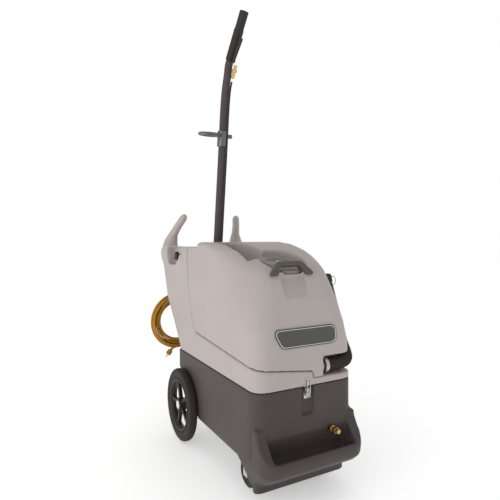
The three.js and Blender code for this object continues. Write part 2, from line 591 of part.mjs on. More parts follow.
// ---- Wand: leans forward on the centre plane, its grip bent towards the front ----
const WAND_SLOPE = 0.1246;
const WAND_LEAN = Math.atan(WAND_SLOPE);
const wandAt = (z) => vec(0, 118 - (z - 855) * WAND_SLOPE, z);
const gripAt = (d) => vec(0, -23.5 - 0.644 * d, 1692 + 0.765 * d);
const wandPath = [
  wandAt(536), wandAt(855), wandAt(1080), wandAt(1297), vec(0, 55, 1369), vec(0, 42, 1482), vec(0, 25, 1570),
  vec(0, 1, 1640), gripAt(-22), gripAt(-1.5),
];
add('wand_tube', sweep(wandPath, WAND_RADIUS, 12, 32), DARK, 0.45);
const grip = cut(
  join(rod(gripAt(0), gripAt(138), 22, 18), rod(gripAt(137), gripAt(214), 19.8, 18)),
  rod(gripAt(10), gripAt(230), 15, 16),
);
add('wand_grip', grip, BLACK, 0.7);

const linePath = [560, 855, 1080, 1297].map((z) => wandAt(z).add(vec(15, -19, 0))).concat([
  vec(15, 36, 1369), vec(15, 23, 1482), vec(15, 5, 1570), vec(14, -12, 1600),
]);
const headLine = [wandAt(562), wandAt(548), wandAt(500), wandAt(430)].map((p, i) =>
  p.add(vec(15, i < 1 ? -19 : -28, 0)));
const crossbar = wandAt(432).add(vec(0, -28, 0));
const line = join(
  sweep(linePath, 4.5, 8, 40),
  sweep(headLine, 4.5, 8, 10),
  rod(crossbar.clone().setX(-60), crossbar.clone().setX(60), 5, 10),
  ...[-54, 0, 54].map((x) => rod(crossbar.clone().setX(x), vec(x, crossbar.y + 2, 414), 6, 10)),
);
add('solution_line', line, BLACK, 0.5);
const valve = join(
  rod(vec(14, -20, 1612), vec(14, -52, 1662), 8, 8),
  rod(vec(2, -34, 1642), vec(26, -34, 1642), 7, 10),
);
add('valve_body', valve, BRASS, 0.3, 1);
const lever = join(rod(vec(0, -62, 1682), vec(0, -136, 1748), 7, 12), box(-5, 5, -66, -52, 1670, 1686));
add('valve_lever', lever, BLACK, 0.5);

const auxClamp = join(
  new THREE.TorusGeometry(36, 8, 10, 28).scale(1.3, 1, 1).translate(-66, 0, 0),
  rod(vec(0, 0, -50), vec(0, 0, 22), 25, 24),
  rod(vec(20, 0, 0), vec(46, 0, 0), 10, 16),
);
const auxHandle = cut(
  auxClamp,
  rod(vec(0, 0, -70), vec(0, 0, 40), WAND_RADIUS + 3, 24),
  rod(vec(15, -19, -70), vec(15, -19, 40), 7, 14),
);
const placed = toSolid(auxHandle).rotate([THREE.MathUtils.radToDeg(WAND_LEAN), 0, 0]).translate([0, 56, 1362]);
add('aux_handle', toGeometry(placed), STEEL, 0.4, 1);

const headShape = [[-135, 0], [135, 0], [135, 18], [30, 112], [22, 134], [-22, 134], [-30, 112], [-135, 18]];
add('wand_head', extrudeY(headShape, -20, 20).rotateX(WAND_LEAN).translate(0, 174.9, 398.5), STEEL, 0.3, 1);

export default machine;
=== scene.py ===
"""Spot extractor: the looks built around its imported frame, in metres."""

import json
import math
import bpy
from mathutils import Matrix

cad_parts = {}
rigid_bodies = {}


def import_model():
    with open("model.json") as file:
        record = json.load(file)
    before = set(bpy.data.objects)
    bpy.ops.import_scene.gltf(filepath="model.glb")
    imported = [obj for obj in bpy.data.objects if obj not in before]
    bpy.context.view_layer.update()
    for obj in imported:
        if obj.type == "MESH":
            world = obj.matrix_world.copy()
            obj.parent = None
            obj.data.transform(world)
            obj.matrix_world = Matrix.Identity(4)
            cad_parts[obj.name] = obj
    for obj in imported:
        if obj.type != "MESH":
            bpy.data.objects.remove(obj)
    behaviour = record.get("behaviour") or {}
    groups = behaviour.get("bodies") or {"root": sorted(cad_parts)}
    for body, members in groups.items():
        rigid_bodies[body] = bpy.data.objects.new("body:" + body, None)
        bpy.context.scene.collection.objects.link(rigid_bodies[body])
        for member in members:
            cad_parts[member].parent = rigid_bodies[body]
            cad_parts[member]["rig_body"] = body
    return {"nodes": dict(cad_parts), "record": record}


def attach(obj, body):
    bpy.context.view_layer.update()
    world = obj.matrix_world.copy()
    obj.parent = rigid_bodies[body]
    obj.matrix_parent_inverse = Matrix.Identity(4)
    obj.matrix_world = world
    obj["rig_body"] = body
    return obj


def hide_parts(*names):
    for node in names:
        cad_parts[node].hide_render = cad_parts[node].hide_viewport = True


bl_info = {
    "name": "Spot extractor",
    "version": (1, 0, 0),
    "blender": (4, 5, 0),
    "location": "View3D > Sidebar > Extractor",
    "description": "Builds the skins, cord, hose and stage of a spot extractor",
    "category": "Object",
}

import bmesh
import bpy
from mathutils import Matrix, Vector

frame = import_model()
NODES = frame["nodes"]
SLOTS = {part["node"]: part["material_slot"] for part in frame["record"]["subparts"]}
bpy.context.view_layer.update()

# The CAD source is drawn about the rear axle, in millimetres.
AXLE_TO_MIDDLE = 175.5
COIL_CENTRE = (-132.0, 302.0, 462.0)


def at(x, y, z):
    """A point of the CAD source's own frame, in the row frame."""
    return Vector((x, y + AXLE_TO_MIDDLE, z)) / 1000


# ---- Materials ----

def new_node(tree, kind, label, x, y, parent=None):
    """Adds one labelled node to a tree."""
    node = tree.nodes.new(kind)
    node.label = label
    node.location = (x, y)
    node.parent = parent
    return node


def start_material(name):
    """An empty material with its output, shader and object coordinates."""
    material = bpy.data.materials.new(name)
    material.use_nodes = True
    tree = material.node_tree
    tree.nodes.clear()
    output = new_node(tree, "ShaderNodeOutputMaterial", "Surface", 700, 0)
    shader = new_node(tree, "ShaderNodeBsdfPrincipled", "Finish", 400, 0)
    coordinates = new_node(tree, "ShaderNodeTexCoord", "Place on the object", -900, 0)
    tree.links.new(shader.outputs["BSDF"], output.inputs["Surface"])
    return material, tree, shader, coordinates


def two_tone(tree, coordinates, shader, colour, spread, scale):
    """Colour that drifts slowly between a darker and a lighter tone."""
    box = new_node(tree, "NodeFrame", "Colour drift", -700, 300)
    noise = new_node(tree, "ShaderNodeTexNoise", "Slow drift", -650, 250, box)
    noise.inputs["Scale"].default_value = scale
    noise.inputs["Detail"].default_value = 3.0
    ramp = new_node(tree, "ShaderNodeValToRGB", "Tones", -400, 250, box)
    ramp.color_ramp.elements[0].position = 0.3
    ramp.color_ramp.elements[1].position = 0.7
    ramp.color_ramp.elements[0].color = (*(c * (1 - spread) for c in colour), 1)
    ramp.color_ramp.elements[1].color = (*(min(1, c * (1 + spread)) for c in colour), 1)
    tree.links.new(coordinates.outputs["Object"], noise.inputs["Vector"])
    tree.links.new(noise.outputs["Fac"], ramp.inputs["Fac"])
    tree.links.new(ramp.outputs["Color"], shader.inputs["Base Color"])


def surface_grain(tree, coordinates, shader, scale, strength, distance, roughness):
    """Fine bump, and roughness that varies with it."""
    box = new_node(tree, "NodeFrame", "Grain", -700, -300)
    grain = new_node(tree, "ShaderNodeTexNoise", "Fine grain", -650, -250, box)
    grain.inputs["Scale"].default_value = scale
    grain.inputs["Detail"].default_value = 2.0
    bump = new_node(tree, "ShaderNodeBump", "Grain height", -150, -300, box)
    bump.inputs["Strength"].default_value = strength
    bump.inputs["Distance"].default_value = distance
    gloss = new_node(tree, "ShaderNodeMapRange", "Roughness range", -150, -50, box)
    gloss.inputs["To Min"].default_value = roughness - 0.06
    gloss.inputs["To Max"].default_value = roughness + 0.08
    tree.links.new(coordinates.outputs["Object"], grain.inputs["Vector"])
    tree.links.new(grain.outputs["Fac"], bump.inputs["Height"])
    tree.links.new(grain.outputs["Fac"], gloss.inputs["Value"])
    tree.links.new(gloss.outputs["Result"], shader.inputs["Roughness"])
    tree.links.new(bump.outputs["Normal"], shader.inputs["Normal"])


def plastic(name, colour, roughness, spread=0.06, grain=900.0, strength=0.18):
    """Moulded plastic: soft tone drift and a fine moulded grain."""
    material, tree, shader, coordinates = start_material(name)
    two_tone(tree, coordinates, shader, colour, spread, 5.0)
    shader.inputs["Specular IOR Level"].default_value = 0.28
    surface_grain(tree, coordinates, shader, grain, strength, 0.0004, roughness)
    return material


def metal(name, colour, roughness, along):
    """Metal with fine scratches that run one way."""
    material, tree, shader, coordinates = start_material(name)
    shader.inputs["Metallic"].default_value = 1.0
    two_tone(tree, coordinates, shader, colour, 0.08, 30.0)
    stretch = new_node(tree, "ShaderNodeMapping", "Scratch direction", -880, -250)
    stretch.inputs["Scale"].default_value = along
    scratch = new_node(tree, "ShaderNodeTexNoise", "Scratches", -650, -250)
    scratch.inputs["Scale"].default_value = 220.0
    gloss = new_node(tree, "ShaderNodeMapRange", "Roughness range", -150, -50)
    gloss.inputs["To Min"].default_value = max(0.03, roughness - 0.1)
    gloss.inputs["To Max"].default_value = roughness + 0.12
    tree.links.new(coordinates.outputs["Object"], stretch.inputs["Vector"])
    tree.links.new(stretch.outputs["Vector"], scratch.inputs["Vector"])
    tree.links.new(scratch.outputs["Fac"], gloss.inputs["Value"])
    tree.links.new(gloss.outputs["Result"], shader.inputs["Roughness"])
    return material


def clear_plastic(name, colour):
    """Slightly smoked clear plastic with faint haze."""
    material, tree, shader, coordinates = start_material(name)
    two_tone(tree, coordinates, shader, colour, 0.05, 8.0)
    surface_grain(tree, coordinates, shader, 60.0, 0.05, 0.0003, 0.14)
    shader.inputs["Transmission Weight"].default_value = 0.55
    shader.inputs["IOR"].default_value = 1.49
    return material


def make_materials():
    """One material for each slot of the record."""
    return {
        "grey_shell": plastic("Grey shell", (0.45, 0.40, 0.38), 0.5, 0.03),
        "dark_shell": plastic("Charcoal shell", (0.065, 0.053, 0.050), 0.5, 0.08),
        "black_plastic": plastic("Black plastic", (0.026, 0.021, 0.016), 0.45, 0.12),
        "charcoal_plastic": plastic("Charcoal handle", (0.105, 0.088, 0.070), 0.48, 0.08),
        "red_plastic": plastic("Red rocker", (0.4, 0.02, 0.015), 0.25, 0.05),
        "clear_plastic": clear_plastic("Clear lid", (0.42, 0.40, 0.38)),
        "ball_plastic": plastic("Float ball", (0.75, 0.74, 0.7), 0.3, 0.03),
        "filter_plastic": plastic("Filter", (0.05, 0.16, 0.4), 0.4, 0.08),
        "tyre_rubber": plastic("Tyre rubber", (0.036, 0.028, 0.020), 0.75, 0.2, 300.0, 0.35),
        "hose_rubber": plastic("Hose rubber", (0.038, 0.030, 0.024), 0.5, 0.15, 400.0, 0.25),
        "cord_rubber": plastic("Cord jacket", (0.42, 0.19, 0.012), 0.5, 0.12, 500.0, 0.15),
        "zinc_steel": metal("Zinc plate", (0.62, 0.62, 0.6), 0.36, (1, 1, 1)),
        "steel": metal("Brushed steel", (0.50, 0.49, 0.47), 0.3, (1, 1, 12)),
        "chrome": metal("Chrome", (0.80, 0.80, 0.80), 0.12, (1, 1, 1)),
        "cast_metal": metal("Cast metal", (0.16, 0.16, 0.165), 0.4, (1, 1, 1)),
        "brass": metal("Brass", (0.6, 0.4, 0.14), 0.3, (1, 12, 1)),
        "badge_metal": plastic("Badge face", (0.085, 0.083, 0.075), 0.4, 0.05),
        "white_edge": plastic("Badge border", (0.72, 0.71, 0.69), 0.4, 0.03),
    }


MATERIALS = {}


# ---- Mesh helpers ----

def new_object(name, mesh):
    """Links a new object that holds the mesh."""
    piece = bpy.data.objects.new(name, mesh)
    bpy.context.scene.collection.objects.link(piece)
    return piece


def bake(piece):
    """Applies the piece's modifiers to a plain mesh."""
    graph = bpy.context.evaluated_depsgraph_get()
    mesh = bpy.data.meshes.new_from_object(piece.evaluated_get(graph))
    piece.modifiers.clear()
    piece.data = mesh
    return mesh


def stand_for(piece, slot, *nodes):
    """The piece takes the nodes' place, body and finish."""
    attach(piece, NODES[nodes[0]]["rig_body"])
    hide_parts(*nodes)
    dress(piece, slot)
    return piece


def dress(piece, slot):
    """Gives a piece its material and record slot."""
    piece.data.materials.clear()
    piece.data.materials.append(MATERIALS[slot])
    return piece


def smooth(mesh):
    """Smooth shading on every face."""
    mesh.polygons.foreach_set("use_smooth", [True] * len(mesh.polygons))


def rounded(node, voxel, passes=3, limit=150000):
    """A softened copy of a CAD node: welded, remeshed, smoothed and thinned."""
    mesh = NODES[node].data.copy()
    solid = bmesh.new()
    solid.from_mesh(mesh)
    bmesh.ops.remove_doubles(solid, verts=solid.verts, dist=1e-6)
    solid.to_mesh(mesh)
    solid.free()
    piece = new_object(f"{node}_skin", mesh)
    remesh = piece.modifiers.new("Remesh", "REMESH")
    remesh.mode = "VOXEL"
    remesh.voxel_size = voxel
    relax = piece.modifiers.new("Relax", "SMOOTH")
    relax.factor = 0.5
    relax.iterations = passes
    mesh = bake(piece)
    triangles = 2 * len(mesh.polygons)
    if triangles > limit:
        thin = piece.modifiers.new("Thin", "DECIMATE")
        thin.ratio = limit / triangles
        mesh = bake(piece)
    smooth(mesh)
    return stand_for(piece, SLOTS[node], node)


def rings_about_z(solid, profile, sides):
    """One ring of vertices for each [radius, height] pair in mm."""
    rings = []
    for radius, height in profile:
        rings.append([
            solid.verts.new((
                radius / 1000 * math.cos(2 * math.pi * i / sides),
                radius / 1000 * math.sin(2 * math.pi * i / sides),
                height / 1000,
            ))
            for i in range(sides)
        ])
    return rings


def join_rings(solid, low, high):
    """A band of faces between two rings."""
    for i in range(len(low)):
        j = (i + 1) % len(low)
        solid.faces.new((low[i], low[j], high[j], high[i]))


def placed_object(solid, name, place):
    """Turns the faces out, places the solid and makes it an object."""
    bmesh.ops.recalc_face_normals(solid, faces=solid.faces)
    bmesh.ops.transform(solid, matrix=place, verts=solid.verts)
    mesh = bpy.data.meshes.new(name)
    solid.to_mesh(mesh)
    solid.free()
    return new_object(name, mesh)


def turned(name, profile, place, sides=64):
    """A solid of revolution about Z from [radius, height] pairs in mm, then placed."""
    solid = bmesh.new()
    rings = rings_about_z(solid, profile, sides)
    for low, high in zip(rings, rings[1:]):
        join_rings(solid, low, high)
    solid.faces.new(rings[0][::-1])
    solid.faces.new(rings[-1])
    return placed_object(solid, name, place)


def closed_turned(name, profile, place, sides=72):
    """A ring of revolution about Z whose profile closes on itself."""
    solid = bmesh.new()
    rings = rings_about_z(solid, profile, sides)
    for low, high in zip(rings, rings[1:] + rings[:1]):
        join_rings(solid, low, high)
    return placed_object(solid, name, place)


def curve_through(name, points, radius, resolution=6, sides=6):
    """A round curve with one open spline through the points."""
    data = bpy.data.curves.new(name, "CURVE")
    data.dimensions = "3D"
    data.bevel_depth = radius
    data.bevel_resolution = sides
    data.resolution_u = resolution
    data.use_fill_caps = True
    spline = data.splines.new("BEZIER")
    spline.bezier_points.add(len(points) - 1)
    for knot, point in zip(spline.bezier_points, points):
        knot.co = point
        knot.handle_left_type = "AUTO"
        knot.handle_right_type = "AUTO"
    return new_object(name, data)


def curve_piece(name, points, radius, slot, *nodes, resolution=6):
    """A smooth round tube that stands for CAD nodes, as a plain mesh."""
    piece = curve_through(name, points, radius, resolution)
    graph = bpy.context.evaluated_depsgraph_get()
    mesh = bpy.data.meshes.new_from_object(piece.evaluated_get(graph))
    bpy.data.objects.remove(piece)
    solid = new_object(name, mesh)
    smooth(mesh)
    return stand_for(solid, slot, *nodes)


def rib_tree(material):
    """Geometry Nodes: a core tube with evenly spaced round ribs along a curve."""
    tree = bpy.data.node_groups.new("Ribs along a curve", "GeometryNodeTree")
    face = tree.interface
    face.new_socket("Geometry", in_out="INPUT", socket_type="NodeSocketGeometry")
    face.new_socket("Rib count", in_out="INPUT", socket_type="NodeSocketInt").default_value = 30
    for label, default in (("Core radius", 0.02), ("Rib ring radius", 0.021), ("Rib radius", 0.002)):
        face.new_socket(label, in_out="INPUT", socket_type="NodeSocketFloat").default_value = default
    face.new_socket("Geometry", in_out="OUTPUT", socket_type="NodeSocketGeometry")
    link = tree.links.new
    source = new_node(tree, "NodeGroupInput", "Route and sizes", -900, 0)
    spaced = new_node(tree, "GeometryNodeResampleCurve", "Rib places", -650, 200)
    tangent = new_node(tree, "GeometryNodeInputTangent", "Route direction", -650, -50)
    turn = new_node(tree, "FunctionNodeAlignRotationToVector", "Face along the route", -420, -50)
    turn.axis = "Z"
    ring = new_node(tree, "GeometryNodeCurvePrimitiveCircle", "Rib ring", -650, -250)
    ring.inputs["Resolution"].default_value = 32
    bead = new_node(tree, "GeometryNodeCurvePrimitiveCircle", "Rib section", -650, -450)
    bead.inputs["Resolution"].default_value = 8
    rib = new_node(tree, "GeometryNodeCurveToMesh", "Rib", -420, -300)
    placed = new_node(tree, "GeometryNodeInstanceOnPoints", "Place ribs", -180, 150)
    section = new_node(tree, "GeometryNodeCurvePrimitiveCircle", "Core section", -420, 420)
    section.inputs["Resolution"].default_value = 32
    core = new_node(tree, "GeometryNodeCurveToMesh", "Core tube", -180, 420)
    core.inputs["Fill Caps"].default_value = True
    both = new_node(tree, "GeometryNodeJoinGeometry", "Core and ribs", 60, 250)
    real = new_node(tree, "GeometryNodeRealizeInstances", "Make real", 260, 250)
    finish = new_node(tree, "GeometryNodeSetMaterial", "Finish", 460, 250)
    finish.inputs["Material"].default_value = material
    sink = new_node(tree, "NodeGroupOutput", "Ribbed tube", 660, 250)
    link(source.outputs["Geometry"], spaced.inputs["Curve"])
    link(source.outputs["Rib count"], spaced.inputs["Count"])
    link(source.outputs["Rib ring radius"], ring.inputs["Radius"])
    link(source.outputs["Rib radius"], bead.inputs["Radius"])
    link(source.outputs["Core radius"], section.inputs["Radius"])
    link(tangent.outputs["Tangent"], turn.inputs["Vector"])
    link(ring.outputs["Curve"], rib.inputs["Curve"])
    link(bead.outputs["Curve"], rib.inputs["Profile Curve"])
    link(spaced.outputs["Curve"], placed.inputs["Points"])
    link(rib.outputs["Mesh"], placed.inputs["Instance"])
    link(turn.outputs["Rotation"], placed.inputs["Rotation"])
    link(source.outputs["Geometry"], core.inputs["Curve"])
    link(section.outputs["Curve"], core.inputs["Profile Curve"])
    link(placed.outputs["Instances"], both.inputs["Geometry"])
    link(core.outputs["Mesh"], both.inputs["Geometry"])
    link(both.outputs["Geometry"], real.inputs["Geometry"])
    link(real.outputs["Geometry"], finish.inputs["Geometry"])
    link(finish.outputs["Geometry"], sink.inputs["Geometry"])
    return tree


def ribbed(name, points, slot, ribs, core, ring, bead, *nodes):
    """A ribbed tube along a route, baked from the rib tree."""
    route = curve_through(f"{name}_route", points, 0.0, 10)
    holder = route.modifiers.new("Ribs", "NODES")
    tree = rib_tree(MATERIALS[slot])
    holder.node_group = tree
    values = {"Rib count": ribs, "Core radius": core, "Rib ring radius": ring, "Rib radius": bead}
    for item in tree.interface.items_tree:
        if item.in_out == "INPUT" and item.name != "Geometry":
            holder[item.identifier] = values[item.name]
    graph = bpy.context.evaluated_depsgraph_get()
    mesh = bpy.data.meshes.new_from_object(route.evaluated_get(graph))
    bpy.data.objects.remove(route)
    piece = new_object(name, mesh)
    smooth(mesh)
    return stand_for(piece, slot, *nodes) if nodes else dress(piece, slot)


# ---- Settings ----

class ShellSettings(bpy.types.PropertyGroup):
    """How the moulded shells are softened."""

    shell_voxel: bpy.props.FloatProperty(
        name="Shell voxel", description="Voxel size of the large shells", default=0.0046, unit="LENGTH")
    passes: bpy.props.IntProperty(
        name="Smoothing passes", description="Smoothing passes over each shell", default=5)


class CordSettings(bpy.types.PropertyGroup):
    """The power cord."""

    length: bpy.props.FloatProperty(
        name="Length", description="Real length of the cord, exit to plug", default=7.6, unit="LENGTH")
    diameter: bpy.props.FloatProperty(
        name="Diameter", description="Cord diameter", default=0.0095, unit="LENGTH")
    turns: bpy.props.FloatProperty(name="Turns", description="Turns in the coil", default=10.38)
    knots: bpy.props.IntProperty(
        name="Points a turn", description="Curve points in each turn", default=16)


class HoseSettings(bpy.types.PropertyGroup):
    """The corrugated drain hose."""

    ribs: bpy.props.IntProperty(name="Ribs", description="Number of ribs along the hose", default=54)
    radius: bpy.props.FloatProperty(
        name="Rib radius", description="Radius of each round rib", default=0.0024, unit="LENGTH")


class StageSettings(bpy.types.PropertyGroup):
    """Floor, light and camera."""

    lens: bpy.props.FloatProperty(
        name="Lens", description="Focal length on a 36 mm sensor, in mm", default=32.2)
    key_power: bpy.props.FloatProperty(
        name="Key light", description="Power of the key light", default=35.0, unit="POWER")
    sky: bpy.props.FloatProperty(name="Surround", description="Strength of the white surround", default=0.72)
    floor_glow: bpy.props.FloatProperty(
        name="Floor glow", description="Light that the floor gives off by itself", default=0.36)


# ---- Operators ----

class EXTRACTOR_OT_camera(bpy.types.Operator):
    """Places the camera at the front left of the machine"""

    bl_idname = "extractor.camera"
    bl_label = "Camera"

    def execute(self, context):
        settings = context.scene.extractor_stage
        data = bpy.data.cameras.new("Camera")
        data.lens = settings.lens
        data.sensor_width = 36.0
        data.shift_y = -0.0246
        camera = bpy.data.objects.new("Camera", data)
        camera.location = at(-910.1, -1860.0, 880.5)
        camera.rotation_euler = (math.radians(90), 0, math.radians(-28.9))
        context.scene.collection.objects.link(camera)
        context.scene.camera = camera
        return {"FINISHED"}


class EXTRACTOR_OT_cord(bpy.types.Operator):
    """Lays the power cord from its strain relief to its coil and plug"""

    bl_idname = "extractor.cord"
    bl_label = "Power cord"

    def execute(self, context):
        settings = context.scene.extractor_cord
        lead = [
            (-112, 112.6, 640), (-112, 126, 639.6), (-112, 140, 639), (-113, 155, 637.5), (-113, 170, 635),
            (-114, 185, 631.5), (-115, 200, 627), (-116.5, 214, 621), (-118, 228, 614), (-120, 240, 606.5),
            (-121, 250, 599), (-121.5, 261, 591), (-119.5, 272, 584), (-114, 282, 579), (-105, 290.5, 575.5),
            (-93.5, 297.5, 572.5),
        ]
        # Radius and depth at the end of each turn: the layers lie beside each other.
        rows = [
            (103.6, 307.2), (93.0, 307.2), (93.0, 317.0), (103.6, 317.0), (114.2, 317.0), (124.8, 317.0),
            (135.0, 317.0), (135.0, 307.2), (124.8, 307.2), (124.8, 297.1), (135.0, 297.1),
        ]
        stops = [(118.0, 303.0), *rows]
        points = [at(*p) for p in lead]
        start = math.radians(63)
        total = settings.turns
        count = round(total * settings.knots)
        for i in range(1, count + 1):
            turn = total * i / count
            whole = min(int(turn), len(stops) - 2)
            part = turn - whole
            part = part * part * (3 - 2 * part) if stops[whole][1] != stops[whole + 1][1] else part
            radius = stops[whole][0] + part * (stops[whole + 1][0] - stops[whole][0])
            depth = stops[whole][1] + part * (stops[whole + 1][1] - stops[whole][1])
            angle = start - 2 * math.pi * turn
            points.append(at(
                COIL_CENTRE[0] + radius * math.cos(angle), depth, COIL_CENTRE[2] + radius * math.sin(angle)))
        tail = [(-114.5, 298.6, 334.4), (-132, 300.4, 331.4), (-149.5, 301.8, 328.6), (-165.9, 302, 323.2)]
        points.extend(at(*p) for p in tail)
        cord = curve_through("cord_skin", points, settings.diameter / 2, 5, 3)
        cord.data.materials.append(MATERIALS["cord_rubber"])
        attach(cord, "housing")
        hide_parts("power_cord", "cord_coil")
        plug = rounded("plug", 0.0006, 3, 60000)
        return {"FINISHED"}


class EXTRACTOR_OT_shells(bpy.types.Operator):
    """Softens the three large moulded shells"""

    bl_idname = "extractor.shells"
    bl_label = "Moulded shells"

    def execute(self, context):
        settings = context.scene.extractor_shells
        for node in ("solution_tank", "housing", "recovery_tank"):
            rounded(node, settings.shell_voxel, settings.passes, 180000)
        return {"FINISHED"}


class EXTRACTOR_OT_fittings(bpy.types.Operator):
    """Softens the handle, brackets, latch, valve and other small parts"""

    bl_idname = "extractor.fittings"
    bl_label = "Fittings"

    def execute(self, context):
        small = {
            "carry_handle": 0.0014, "cord_hook": 0.0015, "wand_clip": 0.0010, "wand_rest": 0.0014,
            "side_knob": 0.0009, "vacuum_switch": 0.0006, "pump_switch": 0.0006, "latch_base": 0.0006,
            "latch_lever": 0.0005, "latch_loop": 0.0004, "solution_outlet": 0.0008, "outlet_sleeve": 0.0006,
            "valve_body": 0.0006, "valve_lever": 0.0007, "aux_handle": 0.0011, "wand_head": 0.0022,
            "solution_line": 0.0012, "vacuum_elbow": 0.0012, "hinge_leaf_left": 0.0012,
            "hinge_leaf_right": 0.0012, "hinge_strap_left": 0.0012, "hinge_strap_right": 0.0012,
            "caster_fork_left": 0.0009, "caster_fork_right": 0.0009, "caster_plate_left": 0.0012,
            "caster_plate_right": 0.0012, "pump_head": 0.0018, "cap_strap": 0.0005,
        }
        for node, voxel in small.items():
            rounded(node, voxel, 3, 60000)
        return {"FINISHED"}


class EXTRACTOR_OT_wheels(bpy.types.Operator):
    """Turns the rear wheels, their caps and the caster wheels"""

    bl_idname = "extractor.wheels"
    bl_label = "Wheels"

    def execute(self, context):
        tyre = [
            (111.3, -13), (121, -16.5), (131, -17.8), (140, -17.4), (146, -14.8), (149.6, -12), (148.6, -11),
            (150.6, -9.5), (151.9, -6), (151.0, -5), (152.3, -4), (152.4, 0), (152.3, 4), (151.0, 5),
            (151.9, 6), (150.6, 9.5), (148.6, 11), (149.6, 12), (146, 14.8), (140, 17.4), (131, 17.8),
            (121, 16.5), (111.3, 13),
        ]
        for side, sign in (("left", -1), ("right", 1)):
            upright = Matrix.Rotation(math.pi / 2 * sign, 4, "Y")
            place = Matrix.Translation(at(sign * 225.5, 0, 152.5)) @ upright
            rubber = closed_turned(f"tyre_{side}_skin", tyre, place, 120)
            smooth(rubber.data)
            stand_for(rubber, "tyre_rubber", f"tyre_{side}")
            rounded(f"rim_{side}", 0.0013, 3, 90000)
            cap = turned(
                f"hub_cap_{side}_skin",
                [
                    (0.5, 17.3), (17.3, 17.3), (17.5, 17.7), (16.6, 18.15), (12.5, 18.15), (12, 17.9),
                    (0.5, 18.1),
                ],
                place, 72)
            smooth(cap.data)
            stand_for(cap, "chrome", f"hub_cap_{side}")
            spot = Matrix.Translation(at(sign * 145, -472, 51)) @ Matrix.Rotation(math.pi / 2, 4, "Y")
            roller = closed_turned(f"caster_wheel_{side}_skin", [
                (4.6, -12.8), (12, -12.8), (13, -10), (34, -10), (36, -12.8), (45, -12.4), (49.5, -9.5),
                (50.9, -5), (50.9, 5), (49.5, 9.5), (45, 12.4), (36, 12.8), (34, 10), (13, 10), (12, 12.8),
                (4.6, 12.8),
            ], spot, 80)
            smooth(roller.data)
            stand_for(roller, "black_plastic", f"caster_wheel_{side}")
        return {"FINISHED"}


class EXTRACTOR_OT_hose(bpy.types.Operator):
    """Builds the corrugated drain hose with its clamp and cap"""

    bl_idname = "extractor.hose"
    bl_label = "Drain hose"

    def execute(self, context):
        settings = context.scene.extractor_hose
        route = [
            (78, -598, 431), (110, -598, 431), (160, -601, 433), (190, -592, 440), (205, -572, 455),
            (211, -546, 486), (212, -518, 546), (212, -492, 610), (212, -470, 664), (212, -454, 704),
        ]
        ring = 0.024 - settings.radius
        ribbed(
            "drain_hose_skin", [at(*p) for p in route], "hose_rubber", settings.ribs, ring - 0.0012, ring,
            settings.radius, "drain_hose")
        rounded("hose_clamp", 0.0006, 2)
        end = at(212, -454, 704)
        aim = (end - at(212, -470, 664)).normalized()
        place = Matrix.Translation(end) @ aim.to_track_quat("Z", "Y").to_matrix().to_4x4()
        cap = turned("drain_cap_skin", [
            (0.5, 0.6), (25, 0.6), (25.9, 1.6), (25.9, 4), (24.4, 5), (24.4, 8), (25.9, 9), (25.9, 24),
            (24.5, 27.5), (21.5, 29.6), (10, 29.8), (0.5, 29.8),
        ], place, 72)
        smooth(cap.data)
        stand_for(cap, "black_plastic", "drain_cap")
        return {"FINISHED"}


class EXTRACTOR_OT_lid(bpy.types.Operator):
    """Turns the clear lid and its raised centre"""

    bl_idname = "extractor.lid"
    bl_label = "Clear lid"

    def execute(self, context):
        place = Matrix.Translation(at(-8, -462, 788)) @ Matrix.Rotation(math.radians(18), 4, "X")
        lid = turned("clear_lid_skin", [
            (0.5, -8.6), (60, -8.6), (60.4, -9), (60.4, -27.4), (61, -27.9), (66, -27.9), (66.4, -27.2),
            (66.4, -13), (67.4, -11.9), (83, -11.9), (83.9, -11), (83.9, -1), (82.6, 0.4), (79, 1.4),
            (76.5, -0.6), (74, -3.8), (60, -4), (59, -5.2), (57, -5.2), (56, -4), (25, -4), (23, -3),
            (20.8, 2.6), (19, 3.8), (8, 3.9), (7, 3), (0.5, 3),
        ], place, 96)
        smooth(lid.data)
        stand_for(lid, "clear_plastic", "clear_lid")
        return {"FINISHED"}


class EXTRACTOR_OT_badge(bpy.types.Operator):
    """Builds the blank badge plate with its pale border"""

    bl_idname = "extractor.badge"
    bl_label = "Badge plate"

    def execute(self, context):
        rounded("badge_plate", 0.0009, 2, 60000)
        shape = [
            (-115, 29), (-122, 27), (-126, 21), (-125, 9), (-109, -20), (-102, -27), (-93, -29), (99, -29),
            (114, -25), (121, -12), (121, 13), (115, 24), (103, 29),
        ]
        inner = [(x * 0.982, z * 0.94) for x, z in shape]
        solid = bmesh.new()
        tilt = Matrix.Rotation(-0.106, 4, "X")
        base = Matrix.Translation(at(0, -617, 543))

        def corner(x, z, depth):
            return solid.verts.new(base @ tilt @ Vector((x / 1000, depth / 1000, z / 1000)))

        loops = [[corner(x, z, d) for x, z in path] for path, d in (
            (shape, -3.1), (shape, -3.5), (inner, -3.5), (inner, -3.1))]
        for k, near in enumerate(loops):
            far = loops[(k + 1) % 4]
            for i in range(len(shape)):
                j = (i + 1) % len(shape)
                solid.faces.new((near[i], near[j], far[j], far[i]))
        bmesh.ops.recalc_face_normals(solid, faces=solid.faces)
        mesh = bpy.data.meshes.new("badge_border")
        solid.to_mesh(mesh)
        solid.free()
        border = new_object("badge_border", mesh)
        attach(border, "recovery")
        border.data.materials.append(MATERIALS["white_edge"])
        return {"FINISHED"}


